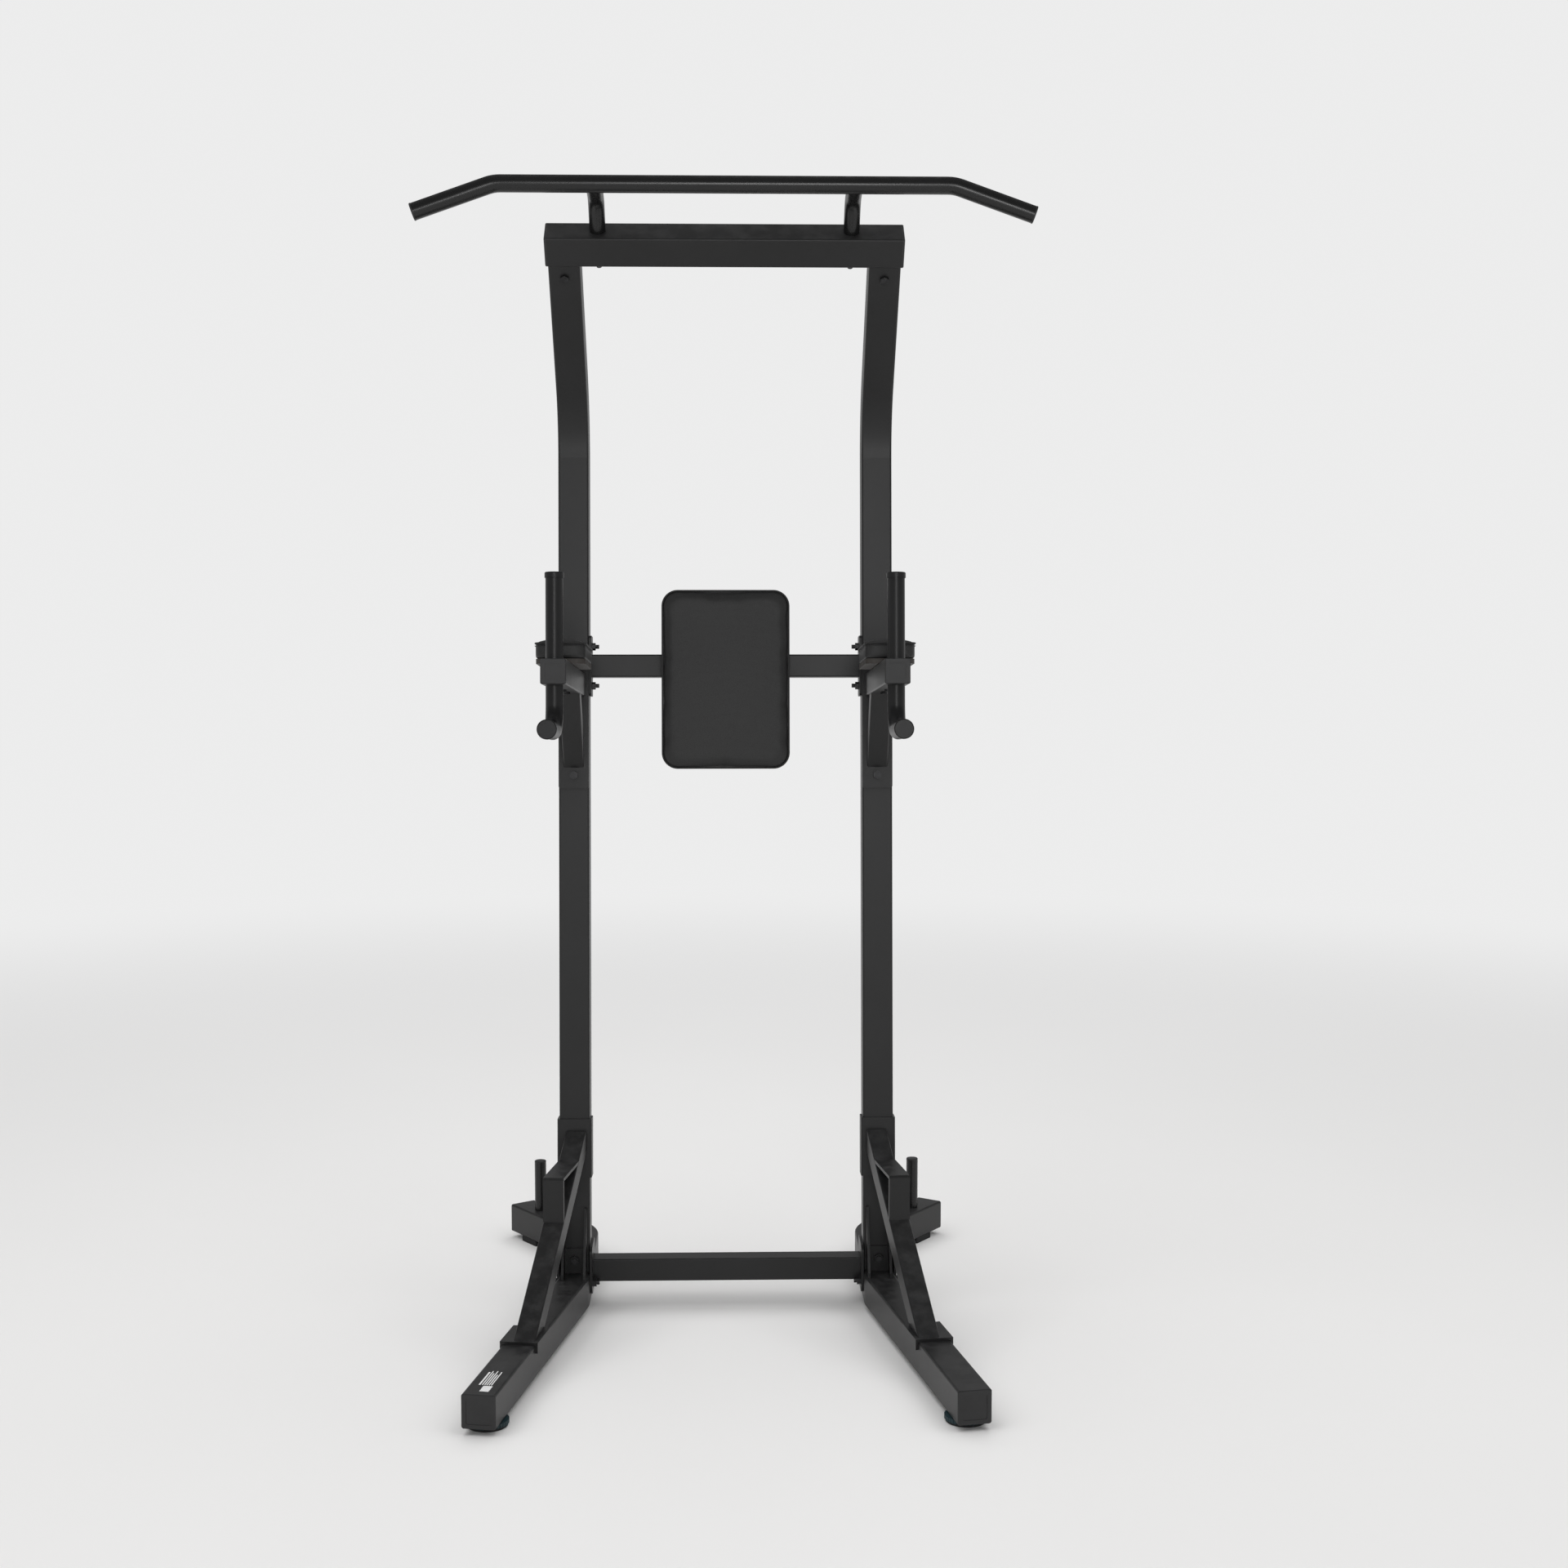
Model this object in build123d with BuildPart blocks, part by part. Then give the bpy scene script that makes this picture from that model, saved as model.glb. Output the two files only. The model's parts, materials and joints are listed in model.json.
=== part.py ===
from build123d import *
import os
from math import atan2, cos, degrees, radians, sin, tan

# Power tower: a bolted steel-tube frame with a pull-up bar, padded arms and a backrest.
# Millimetres. X runs across, -Y is the front (the user's side), +Z is up and the floor is z = 0.
# The base stands square on the floor. The upper frame leans back by post_lean: it is drawn upright
# with its own origin on the leg tops, at the posts' front faces, and is leaned when it is written.

# ---------------------------------------------------------------- driving dimensions
leg_side = 60.0
leg_wall = 2.0
leg_corner = 4.0
floor_gap = 12.0
front_reach = 668.0
front_spread = 417.0
rear_reach = 517.0
rear_spread = 450.0
front_bend_y = -30.0
rear_bend_y = 309.0
front_bend_radius = 110.0

post_side = leg_side    # one tube size: the foot plates lie flat on post and leg alike
post_wall = 2.0
post_corner = 4.0
post_gap = 543.0
post_lean = 4.6
post_straight = 1618.0
post_bend_radius = 180.0
post_bend_angle = 44.0
post_top_run = 275.0

beam_side = 60.0
beam_wall = 2.5
beam_forward = 5.0
cap_thickness = 4.5
plug_depth = 18.0
plug_wall = 2.5
cap_rim = 8.0
cap_dish = 0.8
cap_chamfer = 1.6
fit_gap = 0.2

bar_diameter = 32.0
bar_wall = 2.5
bar_forward = 380.0
bar_height = 2057.0
bar_straight = 837.0
bar_span = 1126.0
bar_drop = 52.0
bar_bend_radius = 70.0
support_diameter = 30.0
support_spacing = 474.0
support_rise_angle = 8.0
support_bend_radius = 55.0
support_boss = 30.0
stud_end = 8.0

brace_side = 45.0
brace_wall = 2.0
small_side = 40.0
small_corner = 3.0
plate = 5.0

backrest_width = 250.0
backrest_height = 350.0
backrest_corner = 32.0
backrest_front = 67.0
backrest_board = 15.0
backrest_pad_center = 1175.0
backrest_bar_center = 1205.0
backrest_bar_back = 50.0
backrest_screw_spacing = 140.0
board_inset = 2.0
pad_edge = 8.0
backrest_plate_height = 120.0
backrest_plate_width = 50.0
backrest_bolt_spacing = 78.0

grip_slack = 0.1
grip_lip = 1.6
grip_rim = 6.0
spigot_wall = 3.0
spigot_length = 75.0
beam_bolt_drop = 27.0

arm_top = 1189.5
arm_reach = 523.0
arm_plate_low = 961.0
arm_plate_high = 1247.0
arm_bolt_low = 987.0
arm_bolt_high = 1225.0
arm_brace_low = 1002.5
arm_brace_reach = 125.0
elbow_width = 94.0
elbow_front = 360.0
elbow_back = 139.0
elbow_height = 47.0
elbow_board = 9.0
elbow_corner = 16.0
elbow_bolt_first = 205.0
elbow_bolt_second = 300.0

handle_diameter = 25.4
handle_wall = 2.0
grip_wall = 2.8
grip_end = 4.0
handle_forward = 489.0
handle_top = 1339.0
handle_low = 1062.0
handle_reach = 655.0
handle_bend_radius = 48.0

step_width = 40.0
step_plate = 6.0
step_top = 312.0
step_front = 187.0
brace_foot_y = -419.0
brace_head_height = 283.0
saddle_bolt_height = 215.0
saddle_cheek = 45.0
brace_head_forward = 12.0
brace_head_inset = 3.5
brace_foot_inset = 8.0
saddle_margin = 6.0
saddle_length = 90.0
saddle_lip = 14.0
post_saddle_low = 189.0
post_saddle_high = 305.0
post_saddle_wall = 4.0
foot_cheek_height = 128.0
foot_cheek_reach = 55.0
foot_bracket_width = 48.0
foot_plate_height = 44.0
foot_bolt_height = 26.0
cross_brace_lift = 1.5
cross_plate_width = 90.0
cross_plate_low = 30.0
cross_plate_high = 125.0
cross_bolt_spacing = 70.0
cross_bolt_z = 54.0

peg_diameter = 25.0
peg_wall = 2.0
peg_height = 107.0
peg_setback = 73.0
rubber_length = 60.0
rubber_setback = 38.0
rubber_width = 56.0

foot_diameter = 74.0
foot_setback = 49.0
sole_height = 4.2
wheel_ribs = 36
wheel_rib_radius = 1.5
stud_radius = 5.0
stud_length = 46.0
thread_clearance = 0.05
insert_radius = 8.0
insert_height = 14.0
insert_flange = 1.5
moving_gap = 0.4

bolt_radius = 5.0
bolt_head_radius = 9.0
bolt_head_height = 6.0
nut_radius = 9.0
nut_height = 8.0
nut_thread = 6.0
small_bolt_radius = 4.0
small_head_radius = 7.5
small_head_height = 5.0
small_nut_height = 7.0
small_thread = 7.0
hole_clearance = 0.3

# ---------------------------------------------------------------- derived places
leg_top = floor_gap + leg_side
post_x = (post_gap + post_side) / 2
post_inner = post_gap / 2
post_outer = post_inner + post_side
splay = degrees(atan2(front_spread - post_x, front_reach + front_bend_y))
rear_angle = degrees(atan2(rear_spread - post_x, rear_reach - rear_bend_y))
front_tip = front_reach + leg_side / 2 * sin(radians(splay)) + cap_thickness / 2
rear_tip = rear_reach + leg_side / 2 * sin(radians(rear_angle)) + cap_thickness / 2
post_y = (front_tip - rear_tip) / 2
lean_origin = (0, post_y, leg_top)
leaned = Location(lean_origin, (-post_lean, 0, 0))
on_floor = Location((0, post_y, 0))

tilt = radians(post_bend_angle)
rise = Vector(0, -sin(tilt), cos(tilt))
back = Vector(0, cos(tilt), sin(tilt))
post_bend_end = Vector(0, -post_bend_radius * (1 - cos(tilt)), post_straight + post_bend_radius * sin(tilt))
post_top = post_bend_end + rise * post_top_run
beam_low_front = post_top - back * beam_forward
beam_center = beam_low_front + rise * (beam_side / 2) + back * (beam_side / 2)
beam_length = 2 * post_outer
bar_center = Vector(0, -bar_forward, bar_height)
arm_bottom = arm_top - brace_side
handle_x = post_x


def at_side(x, vector):
    """A point of the upper frame moved across to x."""
    return Vector(x, vector.Y, vector.Z)


def hollow_square(side, wall, corner):
    """The section of a square tube."""
    with BuildSketch() as section:
        RectangleRounded(side, side, corner)
        RectangleRounded(side - 2 * wall, side - 2 * wall, corner - wall / 2, mode=Mode.SUBTRACT)
    return section.sketch


def swept_square(line, side, wall, corner):
    """A square tube along a flat path; its section stays square to the path."""
    start = line @ 0
    along = line % 0
    across = Vector(1, 0, 0) if abs(along.Z) > 0.5 else Vector(0, 0, 1)
    with BuildPart() as tube:
        with BuildSketch(Plane(origin=start, x_dir=across, z_dir=along)):
            add(hollow_square(side, wall, corner))
        sweep(path=line)
    return tube.part


def swept_round(line, diameter, wall):
    """A round tube along a path, or a solid rod when wall is 0."""
    with BuildPart() as tube:
        with BuildSketch(Plane(origin=line @ 0, z_dir=line % 0)):
            Circle(diameter / 2)
            if wall:
                Circle(diameter / 2 - wall, mode=Mode.SUBTRACT)
        sweep(path=line)
    return tube.part


def rod(start, end, radius):
    """A plain cylinder from one point to another."""
    with BuildPart() as cylinder:
        with BuildSketch(Plane(origin=start, z_dir=end - start)):
            Circle(radius)
        extrude(amount=(end - start).length)
    return cylinder.part


def bolt(head_seat, tip, radius, head_radius, head_height):
    """A hexagon-head bolt: the head stands on head_seat and the shank ends at tip."""
    outward = (head_seat - tip).normalized()
    with BuildPart() as screw:
        with BuildSketch(Plane(origin=head_seat, z_dir=outward)):
            RegularPolygon(head_radius, 6)
        extrude(amount=head_height)
        with BuildSketch(Plane(origin=tip, z_dir=outward)):
            Circle(radius)
        extrude(amount=(head_seat - tip).length)
    return screw.part


def bolt_and_nut(head_seat, nut_seat, size):
    """A bolt through a clamped stack and the nut on its far side."""
    radius, head_radius, head_height, nut_thick, thread = size
    inward = (nut_seat - head_seat).normalized()
    screw = bolt(head_seat, nut_seat + inward * (nut_thick + thread), radius, head_radius, head_height)
    nut = hexagon_nut(nut_seat, nut_seat + inward * nut_thick, head_radius, radius + thread_clearance)
    return screw, nut


def hexagon_nut(start, end, radius, bore):
    """A plain hexagon nut between two points."""
    with BuildPart() as nut:
        with BuildSketch(Plane(origin=start, z_dir=end - start)):
            RegularPolygon(radius, 6)
            Circle(bore, mode=Mode.SUBTRACT)
        extrude(amount=(end - start).length)
    return nut.part


def drilled(piece, *holes):
    """The piece with a round hole for each (start, end, radius)."""
    with BuildPart() as result:
        add(piece)
        for start, end, radius in holes:
            add(rod(start, end, radius), mode=Mode.SUBTRACT)
    return result.part


def save(piece, name, place=None):
    """Write one piece, moved to its place in the tower."""
    placed = piece.moved(place) if place else piece
    placed.label = name
    export_step(placed, f"parts/{name}.step")


def save_pair(piece, name, place):
    """Write the right-hand piece and its mirror image."""
    save(piece, f"{name}_right", place)
    save(mirror(piece, about=Plane.YZ), f"{name}_left", place)


def save_group(pieces, name):
    """Write identical loose pieces together, as separate solids of one node."""
    solids = [solid for piece, place in pieces for solid in piece.moved(place).solids()]
    save(Compound(label=name, children=solids), name)


def both_sides(piece, place):
    """A right-hand piece and its mirror image, for save_group."""
    return [(piece, place), (mirror(piece, about=Plane.YZ), place)]


os.makedirs("parts", exist_ok=True)
big = (bolt_radius, bolt_head_radius, bolt_head_height, nut_height, nut_thread)
small = (small_bolt_radius, small_head_radius, small_head_height, small_nut_height, small_thread)
big_hole = bolt_radius + hole_clearance
small_hole = small_bolt_radius + hole_clearance
big_bolts = []
big_nuts = []
small_bolts = []
small_nuts = []

# ---------------------------------------------------------------- base side tubes
leg_z = floor_gap + leg_side / 2
splay_dir = Vector(sin(radians(splay)), -cos(radians(splay)), 0)
rear_dir = Vector(sin(radians(rear_angle)), cos(radians(rear_angle)), 0)
front_end = Vector(front_spread, -front_reach, leg_z)
rear_end = Vector(rear_spread, rear_reach, leg_z)
levelling_axis = front_end - splay_dir * foot_setback
peg_foot = rear_end - rear_dir * peg_setback
cross_bolt_ys = [post_side / 2 - cross_bolt_spacing / 2, post_side / 2 + cross_bolt_spacing / 2]

with BuildLine() as leg_line:
    FilletPolyline(
        front_end,
        (post_x, front_bend_y, leg_z),
        (post_x, rear_bend_y, leg_z),
        rear_end,
        radius=front_bend_radius,
    )

base_tube = swept_square(leg_line.wire(), leg_side, leg_wall, leg_corner)
insert_hole = (
    Vector(levelling_axis.X, levelling_axis.Y, floor_gap - 1),
    Vector(levelling_axis.X, levelling_axis.Y, floor_gap + leg_wall + 1),
    insert_radius + fit_gap,
)
leg_holes = [
    (Vector(post_inner - 10, y, cross_bolt_z), Vector(post_outer + 10, y, cross_bolt_z), big_hole)
    for y in cross_bolt_ys
]
base_tube = drilled(base_tube, insert_hole, *leg_holes)
save_pair(base_tube, "base_tube", on_floor)


def tube_cap(end, outward, across, side, wall, corner, depth=plug_depth):
    """A moulded end plug: a flange on the tube's end, a plug inside it and a shallow dished face."""
    face = Plane(origin=end, x_dir=across, z_dir=outward)
    with BuildPart() as cap:
        with BuildSketch(face):
            RectangleRounded(side, side, corner)
        extrude(amount=cap_thickness)
        outer_face = cap.faces().sort_by(lambda item: (item.center() - end).dot(outward))[-1]
        chamfer(outer_face.edges(), length=cap_chamfer)
        with BuildSketch(face.offset(cap_thickness)):
            RectangleRounded(side - 2 * cap_rim, side - 2 * cap_rim, corner)
        extrude(amount=-cap_dish, mode=Mode.SUBTRACT)
        with BuildSketch(face):
            inner = side - 2 * wall - 2 * fit_gap
            RectangleRounded(inner, inner, corner - wall / 2)
            hollow = inner - 2 * plug_wall
            RectangleRounded(hollow, hollow, corner - wall / 2, mode=Mode.SUBTRACT)
        extrude(amount=-depth)
    return cap.part


upward = Vector(0, 0, 1)
front_cap = tube_cap(front_end, splay_dir, splay_dir.cross(upward), leg_side, leg_wall, leg_corner)
rear_cap = tube_cap(rear_end, rear_dir, rear_dir.cross(upward), leg_side, leg_wall, leg_corner)
save_pair(front_cap, "front_end_cap", on_floor)
save_group(both_sides(rear_cap, on_floor), "rear_end_caps")

# ---------------------------------------------------------------- feet
rubber_center = rear_end - rear_dir * (rubber_setback + rubber_length / 2)
with BuildPart() as rubber_pad:
    with BuildSketch(Plane(origin=(rubber_center.X, rubber_center.Y, 0), x_dir=rear_dir, z_dir=(0, 0, 1))):
        RectangleRounded(rubber_length, rubber_width, 3)
    extrude(amount=floor_gap)
save_group(both_sides(rubber_pad.part, on_floor), "rear_rubber_pads")

axis_x = levelling_axis.X
axis_y = levelling_axis.Y
wheel_low = sole_height + moving_gap
wheel_top = floor_gap - moving_gap
with BuildPart() as levelling_sole:
    with BuildSketch(Plane.XY):
        with Locations((axis_x, axis_y)):
            Circle(foot_diameter / 2 - 2)
    extrude(amount=sole_height)
    chamfer(levelling_sole.edges().filter_by(GeomType.CIRCLE).sort_by(Axis.Z)[0], length=1)
    with BuildSketch(Plane.XY.offset(sole_height)):
        with Locations((axis_x, axis_y)):
            Circle(stud_radius - 0.5)
    extrude(amount=moving_gap / 4)
save_pair(levelling_sole.part, "levelling_sole", on_floor)

with BuildPart() as levelling_wheel:
    with BuildSketch(Plane.XY.offset(wheel_low)):
        with Locations((axis_x, axis_y)):
            Circle(foot_diameter / 2)
            with PolarLocations(foot_diameter / 2, wheel_ribs):
                Circle(wheel_rib_radius, mode=Mode.SUBTRACT)
    extrude(amount=wheel_top - wheel_low)
    with BuildSketch(Plane.XY.offset(wheel_top)):
        with Locations((axis_x, axis_y)):
            Circle(stud_radius)
    extrude(amount=stud_length)
save_pair(levelling_wheel.part, "levelling_wheel", on_floor)

with BuildPart() as levelling_insert:
    with BuildSketch(Plane.XY.offset(floor_gap)):
        with Locations((axis_x, axis_y)):
            Circle(insert_radius)
            Circle(stud_radius + thread_clearance, mode=Mode.SUBTRACT)
    extrude(amount=insert_height)
    with BuildSketch(Plane.XY.offset(floor_gap + leg_wall)):
        with Locations((axis_x, axis_y)):
            Circle(insert_radius + insert_flange)
            Circle(insert_radius, mode=Mode.SUBTRACT)
    extrude(amount=insert_flange)
save_group(both_sides(levelling_insert.part, on_floor), "levelling_inserts")

# ---------------------------------------------------------------- band pegs
peg_base = Vector(peg_foot.X, peg_foot.Y, leg_top)
peg_end = peg_base + Vector(0, 0, peg_height)
with BuildPart() as band_peg:
    with BuildSketch(Plane(origin=peg_base, z_dir=(0, 0, 1))):
        Circle(peg_diameter / 2)
        Circle(peg_diameter / 2 - peg_wall, mode=Mode.SUBTRACT)
    extrude(amount=peg_height)
save_pair(band_peg.part, "band_peg", on_floor)


def round_cap(end, outward, diameter, wall, thickness, lip=0.0):
    """A domed plug in the end of a round tube; lip is how far its rim stands past the tube."""
    with BuildPart() as cap:
        with BuildSketch(Plane(origin=end, z_dir=outward)):
            Circle(diameter / 2 + lip)
        extrude(amount=thickness)
        circles = cap.edges().filter_by(GeomType.CIRCLE)
        rim = circles.sort_by(lambda edge: (edge.center() - end).dot(outward))[-1]
        fillet(rim, radius=thickness * 0.6)
        with BuildSketch(Plane(origin=end, z_dir=outward)):
            Circle(diameter / 2 - wall - fit_gap)
        extrude(amount=-plug_depth)
    return cap.part


peg_cap = round_cap(peg_end, Vector(0, 0, 1), peg_diameter, peg_wall, 3)
save_group(both_sides(peg_cap, on_floor), "band_peg_caps")

# ---------------------------------------------------------------- cross brace and its plates
cross_center_z = leg_top + cross_brace_lift
with BuildPart() as lower_cross_brace:
    with BuildSketch(Plane(origin=(-post_inner + plate, post_side / 2, cross_center_z), z_dir=(1, 0, 0))):
        add(hollow_square(brace_side, brace_wall, small_corner))
    extrude(amount=post_gap - 2 * plate)
save(lower_cross_brace.part, "lower_cross_brace", on_floor)


def cross_plate(x_low):
    """A side plate over the joint of leg, post and cross brace, drilled for its bolts."""
    with BuildPart() as side_plate:
        middle = (cross_plate_low + cross_plate_high) / 2
        with BuildSketch(Plane(origin=(x_low, post_side / 2, middle), x_dir=(0, 1, 0), z_dir=(1, 0, 0))):
            RectangleRounded(cross_plate_width, cross_plate_high - cross_plate_low, 14)
            with Locations((-cross_bolt_spacing / 2, cross_bolt_z - middle),
                           (cross_bolt_spacing / 2, cross_bolt_z - middle)):
                Circle(big_hole, mode=Mode.SUBTRACT)
        extrude(amount=plate)
    return side_plate.part


save_group(both_sides(cross_plate(post_inner - plate), on_floor), "cross_brace_plates")
save_group(both_sides(cross_plate(post_outer), on_floor), "foot_outer_plates")
for y in cross_bolt_ys:
    head_seat = Vector(post_outer + plate, y, cross_bolt_z)
    nut_seat = Vector(post_inner - plate, y, cross_bolt_z)
    screw, nut = bolt_and_nut(head_seat, nut_seat, big)
    big_bolts += both_sides(screw, on_floor)
    big_nuts += both_sides(nut, on_floor)

# ---------------------------------------------------------------- posts
post_mid = post_side / 2
floor_normal = (0, -sin(radians(post_lean)), cos(radians(post_lean)))
floor_plane = Plane(origin=(0, 0, 0), x_dir=(1, 0, 0), z_dir=floor_normal)
bend_tangent = (post_bend_radius + post_mid) * tan(tilt / 2)
post_corner_point = Vector(post_x, post_mid, post_straight + bend_tangent)
post_end = post_corner_point + rise * (bend_tangent + post_top_run)
beam_bolt_seat = at_side(post_x, post_top - rise * beam_bolt_drop)
backrest_bolt_v = backrest_bar_back - brace_side / 2
backrest_bolt_heights = [
    backrest_bar_center - backrest_bolt_spacing / 2,
    backrest_bar_center + backrest_bolt_spacing / 2,
]
beam_bolt_line = (beam_bolt_seat - back * 10, beam_bolt_seat + back * (post_side + 10), big_hole)
post_holes = [beam_bolt_line]
for height in (foot_bolt_height, saddle_bolt_height, arm_bolt_low, arm_bolt_high):
    post_holes.append((Vector(post_x, -10, height), Vector(post_x, post_side + 10, height), big_hole))
for height in backrest_bolt_heights:
    hole_start = Vector(post_inner - 10, backrest_bolt_v, height)
    post_holes.append((hole_start, hole_start + Vector(post_side + 20, 0, 0), small_hole))

with BuildLine() as post_line:
    FilletPolyline(
        (post_x, post_mid, -post_mid),
        post_corner_point,
        post_end,
        radius=post_bend_radius + post_mid,
    )
with BuildPart() as upright:
    add(drilled(swept_square(post_line.wire(), post_side, post_wall, post_corner), *post_holes))
    split(bisect_by=floor_plane, keep=Keep.TOP)
save_pair(upright.part, "upright", leaned)

# ---------------------------------------------------------------- foot brackets and post saddles
with BuildPart() as foot_bracket:
    with BuildSketch(Plane(origin=(post_x, 0, 0), x_dir=(1, 0, 0), z_dir=(0, -1, 0))):
        with Locations((0, foot_plate_height / 2)):
            Rectangle(foot_bracket_width, foot_plate_height + 2 * plate)
        with Locations((0, foot_bolt_height)):
            Circle(big_hole, mode=Mode.SUBTRACT)
    extrude(amount=plate)
    for side in (-1, 1):
        cheek_x = post_x + side * (foot_bracket_width / 2) - (plate if side > 0 else 0)
        with BuildSketch(Plane(origin=(cheek_x, 0, 0), x_dir=(0, -1, 0), z_dir=(-1, 0, 0))):
            Polygon((0, -plate), (foot_cheek_reach, -plate), (foot_cheek_reach, 6), (8, foot_cheek_height),
                    (0, foot_cheek_height), align=None)
        extrude(amount=-plate)
    split(bisect_by=floor_plane, keep=Keep.TOP)
save_pair(foot_bracket.part, "foot_bracket", leaned)
foot_bolt_seat = Vector(post_x, post_side, foot_bolt_height)
screw, nut = bolt_and_nut(foot_bolt_seat, Vector(post_x, -plate, foot_bolt_height), big)
big_bolts += both_sides(screw, leaned)
big_nuts += both_sides(nut, leaned)

saddle_outside = post_side + 2 * post_saddle_wall
with BuildPart() as post_saddle:
    with BuildSketch(Plane.XY.offset(post_saddle_low)):
        with Locations((post_x, (saddle_cheek - post_saddle_wall) / 2)):
            RectangleRounded(saddle_outside, saddle_cheek + post_saddle_wall, 3)
        with Locations((post_x, saddle_cheek / 2 + 5)):
            Rectangle(post_side, saddle_cheek + 10, mode=Mode.SUBTRACT)
    extrude(amount=post_saddle_high - post_saddle_low)
saddle_hole_end = Vector(post_x, post_side, saddle_bolt_height)
saddle_hole = (Vector(post_x, -10, saddle_bolt_height), saddle_hole_end, big_hole)
save_pair(drilled(post_saddle.part, saddle_hole), "brace_saddle", leaned)
rear_seat = Vector(post_x, post_side, saddle_bolt_height)
front_seat = Vector(post_x, -post_saddle_wall, saddle_bolt_height)
screw, nut = bolt_and_nut(rear_seat, front_seat, big)
big_bolts += both_sides(screw, leaned)
big_nuts += both_sides(nut, leaned)

# ---------------------------------------------------------------- diagonal brace, step and leg saddle
# The brace and the step stand in one upright plane, from the brace's head on the post to its foot
# on the leg; s is the distance forward in it from the head.
lean = radians(post_lean)
head_y = -brace_head_forward * cos(lean) + brace_head_height * sin(lean)
head_z = leg_top + brace_head_height * cos(lean) + brace_head_forward * sin(lean)
saddle_top = leg_top + plate
brace_foot_x = post_x + (front_bend_y - brace_foot_y) * tan(radians(splay))
brace_foot = Vector(brace_foot_x, brace_foot_y, saddle_top)
head_x = post_x - brace_head_inset
stand_angle = atan2(brace_foot_x - brace_foot_inset - head_x, head_y - brace_foot_y)
stand_dir = Vector(sin(stand_angle), -cos(stand_angle), 0)
stand_forward = cos(stand_angle)
foot_s = (head_y - brace_foot_y) / stand_forward
brace_slope = atan2(head_z - saddle_top, foot_s)
stand = Plane(origin=(head_x, head_y, 0), x_dir=stand_dir, z_dir=stand_dir.cross(upward))


def on_stand(s, z):
    """A point of the brace's upright plane."""
    return Vector(head_x, head_y, z) + stand_dir * s


brace_along = (on_stand(0, head_z) - on_stand(foot_s, saddle_top)).normalized()
brace_down = brace_along.cross(stand.z_dir).normalized()
brace_down = brace_down if brace_down.Z < 0 else -brace_down
brace_start = on_stand(foot_s, saddle_top) - brace_along * small_side * 2 + brace_down * small_side / 2
web_normal = Vector(0, -cos(lean), sin(lean))
web_front = Plane(origin=Vector(0, 0, leg_top) + web_normal * post_saddle_wall, z_dir=web_normal)
with BuildPart() as diagonal_brace:
    with BuildSketch(Plane(origin=brace_start, x_dir=stand.z_dir, z_dir=brace_along)):
        add(hollow_square(small_side, brace_wall, small_corner))
    extrude(amount=(foot_s + small_side * 4))
    split(bisect_by=Plane.XY.offset(saddle_top), keep=Keep.TOP)
    split(bisect_by=web_front, keep=Keep.TOP)
save_pair(diagonal_brace.part, "diagonal_brace", on_floor)


def brace_top(s):
    """Height of the diagonal brace's upper face at s."""
    return saddle_top + (foot_s - s) * tan(brace_slope)


step_s = (head_y + step_front) / stand_forward
step_back_s = foot_s - (step_top - saddle_top) / tan(brace_slope)
step_inner_s = step_back_s + step_plate / tan(brace_slope)
with BuildPart() as foot_step:
    with BuildSketch(stand):
        Polygon(
            (step_s, brace_top(step_s)),
            (step_s, step_top),
            (step_back_s, step_top),
            (step_inner_s, step_top - step_plate),
            (step_s - step_plate, step_top - step_plate),
            (step_s - step_plate, brace_top(step_s - step_plate)),
            align=None,
        )
    extrude(amount=step_width / 2, both=True)
    step_edges = foot_step.edges().filter_by(
        lambda edge: (edge.center() - on_stand(step_s, step_top)).length < 0.1)
    fillet(step_edges, radius=step_plate)
save_pair(foot_step.part, "foot_step", on_floor)

saddle_front = brace_foot + splay_dir * saddle_margin - Vector(0, 0, plate)
with BuildPart() as leg_saddle:
    with BuildSketch(Plane(origin=saddle_front, x_dir=splay_dir.cross(upward), z_dir=-splay_dir)):
        with Locations((0, (plate - saddle_lip) / 2)):
            Rectangle(leg_side + 2 * plate, saddle_lip + plate)
        with Locations((0, -saddle_lip)):
            Rectangle(leg_side, 2 * saddle_lip, mode=Mode.SUBTRACT)
    extrude(amount=saddle_length)
save_pair(leg_saddle.part, "leg_saddle", on_floor)

# ---------------------------------------------------------------- backrest
bar_front = backrest_bar_back - brace_side
with BuildPart() as backrest_bar:
    bar_start = (-post_inner + plate, backrest_bolt_v, backrest_bar_center)
    with BuildSketch(Plane(origin=bar_start, z_dir=(1, 0, 0))):
        add(hollow_square(brace_side, brace_wall, small_corner))
    extrude(amount=post_gap - 2 * plate)
backrest_screws = []
for x in (-backrest_screw_spacing / 2, backrest_screw_spacing / 2):
    seat = Vector(x, backrest_bar_back, backrest_bar_center)
    backrest_screws.append((seat, Vector(x, bar_front - backrest_board + 1, backrest_bar_center)))
bar_holes = [
    (seat + Vector(0, 10, 0), tip - Vector(0, 0.5, 0), small_hole)
    for seat, tip in backrest_screws
]
save(drilled(backrest_bar.part, *bar_holes), "backrest_bar", leaned)

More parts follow.
